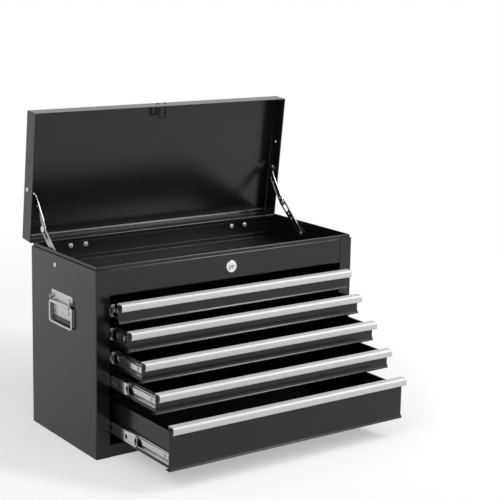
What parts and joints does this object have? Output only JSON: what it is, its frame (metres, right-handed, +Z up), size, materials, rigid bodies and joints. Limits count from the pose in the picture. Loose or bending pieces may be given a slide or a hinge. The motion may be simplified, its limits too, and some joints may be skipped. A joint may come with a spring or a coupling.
{
  "type": "tool chest",
  "caption": "Sheet-steel top tool chest with a hinged lid on folding stays over a till, full-width drawers on telescoping slides, bail handles at the sides and a key lock in the top rail.",
  "frame": {"origin": "centre of the flat underside of the base", "axes": "+X to the right seen from the front, -Y towards the front, +Z up"},
  "size_m": [0.637, 0.5369, 0.6492],
  "materials": {
    "body_paint": "satin black powder coat",
    "drawer_paint": "satin black powder coat",
    "handle_zinc": "bright zinc",
    "slide_steel": "zinc plated, rolled",
    "stay_zinc": "zinc plated",
    "fastener_steel": "bright zinc",
    "trim_aluminium": "anodised, satin",
    "cap_plastic": "moulded black",
    "lock_chrome": "polished",
    "lock_core_steel": "satin"
  },
  "bodies": {
    "cabinet": {"left_side_panel": "body_paint", "right_side_panel": "body_paint", "back_panel": "body_paint", "base_pan": "body_paint", "top_rail": "body_paint", "till_tray": "body_paint", "rear_rim": "body_paint", "left_slide_rails": "slide_steel", "right_slide_rails": "slide_steel", "body_hinge_leaves": "body_paint", "hinge_pins": "fastener_steel", "hinge_bolts": "fastener_steel", "hinge_nuts": "fastener_steel", "handle_plates": "handle_zinc", "handle_screws": "fastener_steel", "lock_cylinder": "lock_chrome", "lock_nut": "fastener_steel", "stay_lower_pivots": "fastener_steel"},
    "lid": {"lid_shell": "body_paint", "lid_catch": "stay_zinc", "lid_hinge_leaves": "body_paint", "lid_rivets": "fastener_steel", "stay_upper_pivots": "fastener_steel"},
    "lock": {"lock_core": "lock_core_steel", "lock_cam": "stay_zinc", "lock_cam_screw": "fastener_steel"},
    "left_bail": {"left_bail": "handle_zinc"},
    "right_bail": {"right_bail": "handle_zinc"},
    "left_lower_arm": {"left_lower_arm": "stay_zinc"},
    "left_upper_arm": {"left_upper_arm": "stay_zinc", "left_knee_pin": "fastener_steel"},
    "right_lower_arm": {"right_lower_arm": "stay_zinc"},
    "right_upper_arm": {"right_upper_arm": "stay_zinc", "right_knee_pin": "fastener_steel"},
    "drawer_1": {"drawer_1_tray": "drawer_paint", "drawer_1_trim": "trim_aluminium", "drawer_1_trim_caps": "cap_plastic", "drawer_1_slide_members": "slide_steel"},
    "drawer_1_middle": {"drawer_1_middle_members": "slide_steel"},
    "drawer_2": {"drawer_2_tray": "drawer_paint", "drawer_2_trim": "trim_aluminium", "drawer_2_trim_caps": "cap_plastic", "drawer_2_slide_members": "slide_steel"},
    "drawer_2_middle": {"drawer_2_middle_members": "slide_steel"},
    "drawer_3": {"drawer_3_tray": "drawer_paint", "drawer_3_trim": "trim_aluminium", "drawer_3_trim_caps": "cap_plastic", "drawer_3_slide_members": "slide_steel"},
    "drawer_3_middle": {"drawer_3_middle_members": "slide_steel"},
    "drawer_4": {"drawer_4_tray": "drawer_paint", "drawer_4_trim": "trim_aluminium", "drawer_4_trim_caps": "cap_plastic", "drawer_4_slide_members": "slide_steel"},
    "drawer_4_middle": {"drawer_4_middle_members": "slide_steel"},
    "drawer_5": {"drawer_5_tray": "drawer_paint", "drawer_5_trim": "trim_aluminium", "drawer_5_trim_caps": "cap_plastic", "drawer_5_slide_members": "slide_steel"},
    "drawer_5_middle": {"drawer_5_middle_members": "slide_steel"}
  },
  "joints": [
    {"name": "lid_hinge", "type": "hinge", "parent": "cabinet", "child": "lid", "pos_m": [0, 0.139, 0.3725], "axis": [1, 0, 0], "range_deg": [0, 83.5]},
    {"name": "lock_turn", "type": "hinge", "parent": "cabinet", "child": "lock", "pos_m": [0, -0.12, 0.346], "axis": [0, -1, 0], "range_deg": [0, 90]},
    {"name": "left_bail_swing", "type": "hinge", "parent": "cabinet", "child": "left_bail", "pos_m": [-0.3145, 0, 0.28], "axis": [0, 1, 0], "range_deg": [0, 90]},
    {"name": "right_bail_swing", "type": "hinge", "parent": "cabinet", "child": "right_bail", "pos_m": [0.3145, 0, 0.28], "axis": [0, -1, 0], "range_deg": [0, 90]},
    {"name": "left_stay_foot", "type": "hinge", "parent": "cabinet", "child": "left_lower_arm", "pos_m": [-0.3008, 0.031, 0.353], "axis": [1, 0, 0], "range_deg": [-39.5, 0]},
    {"name": "left_stay_head", "type": "hinge", "parent": "lid", "child": "left_upper_arm", "pos_m": [-0.3075, 0.14973, 0.48594], "axis": [1, 0, 0], "range_deg": [0, 17.1]},
    {"name": "right_stay_foot", "type": "hinge", "parent": "cabinet", "child": "right_lower_arm", "pos_m": [0.3008, 0.031, 0.353], "axis": [1, 0, 0], "range_deg": [-39.5, 0]},
    {"name": "right_stay_head", "type": "hinge", "parent": "lid", "child": "right_upper_arm", "pos_m": [0.3075, 0.14973, 0.48594], "axis": [1, 0, 0], "range_deg": [0, 17.1]},
    {"name": "drawer_1_slide", "type": "slide", "parent": "cabinet", "child": "drawer_1", "axis": [0, -1, 0], "range_m": [-0.0425, 0.1855]},
    {"name": "drawer_1_middle_slide", "type": "slide", "parent": "cabinet", "child": "drawer_1_middle", "axis": [0, -1, 0], "range_m": [-0.02125, 0.09275]},
    {"name": "drawer_2_slide", "type": "slide", "parent": "cabinet", "child": "drawer_2", "axis": [0, -1, 0], "range_m": [-0.079, 0.149]},
    {"name": "drawer_2_middle_slide", "type": "slide", "parent": "cabinet", "child": "drawer_2_middle", "axis": [0, -1, 0], "range_m": [-0.0395, 0.0745]},
    {"name": "drawer_3_slide", "type": "slide", "parent": "cabinet", "child": "drawer_3", "axis": [0, -1, 0], "range_m": [-0.129, 0.099]},
    {"name": "drawer_3_middle_slide", "type": "slide", "parent": "cabinet", "child": "drawer_3_middle", "axis": [0, -1, 0], "range_m": [-0.0645, 0.0495]},
    {"name": "drawer_4_slide", "type": "slide", "parent": "cabinet", "child": "drawer_4", "axis": [0, -1, 0], "range_m": [-0.178, 0.05]},
    {"name": "drawer_4_middle_slide", "type": "slide", "parent": "cabinet", "child": "drawer_4_middle", "axis": [0, -1, 0], "range_m": [-0.089, 0.025]},
    {"name": "drawer_5_slide", "type": "slide", "parent": "cabinet", "child": "drawer_5", "axis": [0, -1, 0], "range_m": [-0.225, 0.003]},
    {"name": "drawer_5_middle_slide", "type": "slide", "parent": "cabinet", "child": "drawer_5_middle", "axis": [0, -1, 0], "range_m": [-0.1125, 0.0015]}
  ],
  "couplings": [
    {"joint": "left_stay_foot", "follows": "lid_hinge", "ratio": -0.466},
    {"joint": "left_stay_head", "follows": "lid_hinge", "ratio": 0.2},
    {"joint": "right_stay_foot", "follows": "lid_hinge", "ratio": -0.466},
    {"joint": "right_stay_head", "follows": "lid_hinge", "ratio": 0.2},
    {"joint": "drawer_1_middle_slide", "follows": "drawer_1_slide", "ratio": 0.5},
    {"joint": "drawer_2_middle_slide", "follows": "drawer_2_slide", "ratio": 0.5},
    {"joint": "drawer_3_middle_slide", "follows": "drawer_3_slide", "ratio": 0.5},
    {"joint": "drawer_4_middle_slide", "follows": "drawer_4_slide", "ratio": 0.5},
    {"joint": "drawer_5_middle_slide", "follows": "drawer_5_slide", "ratio": 0.5}
  ]
}
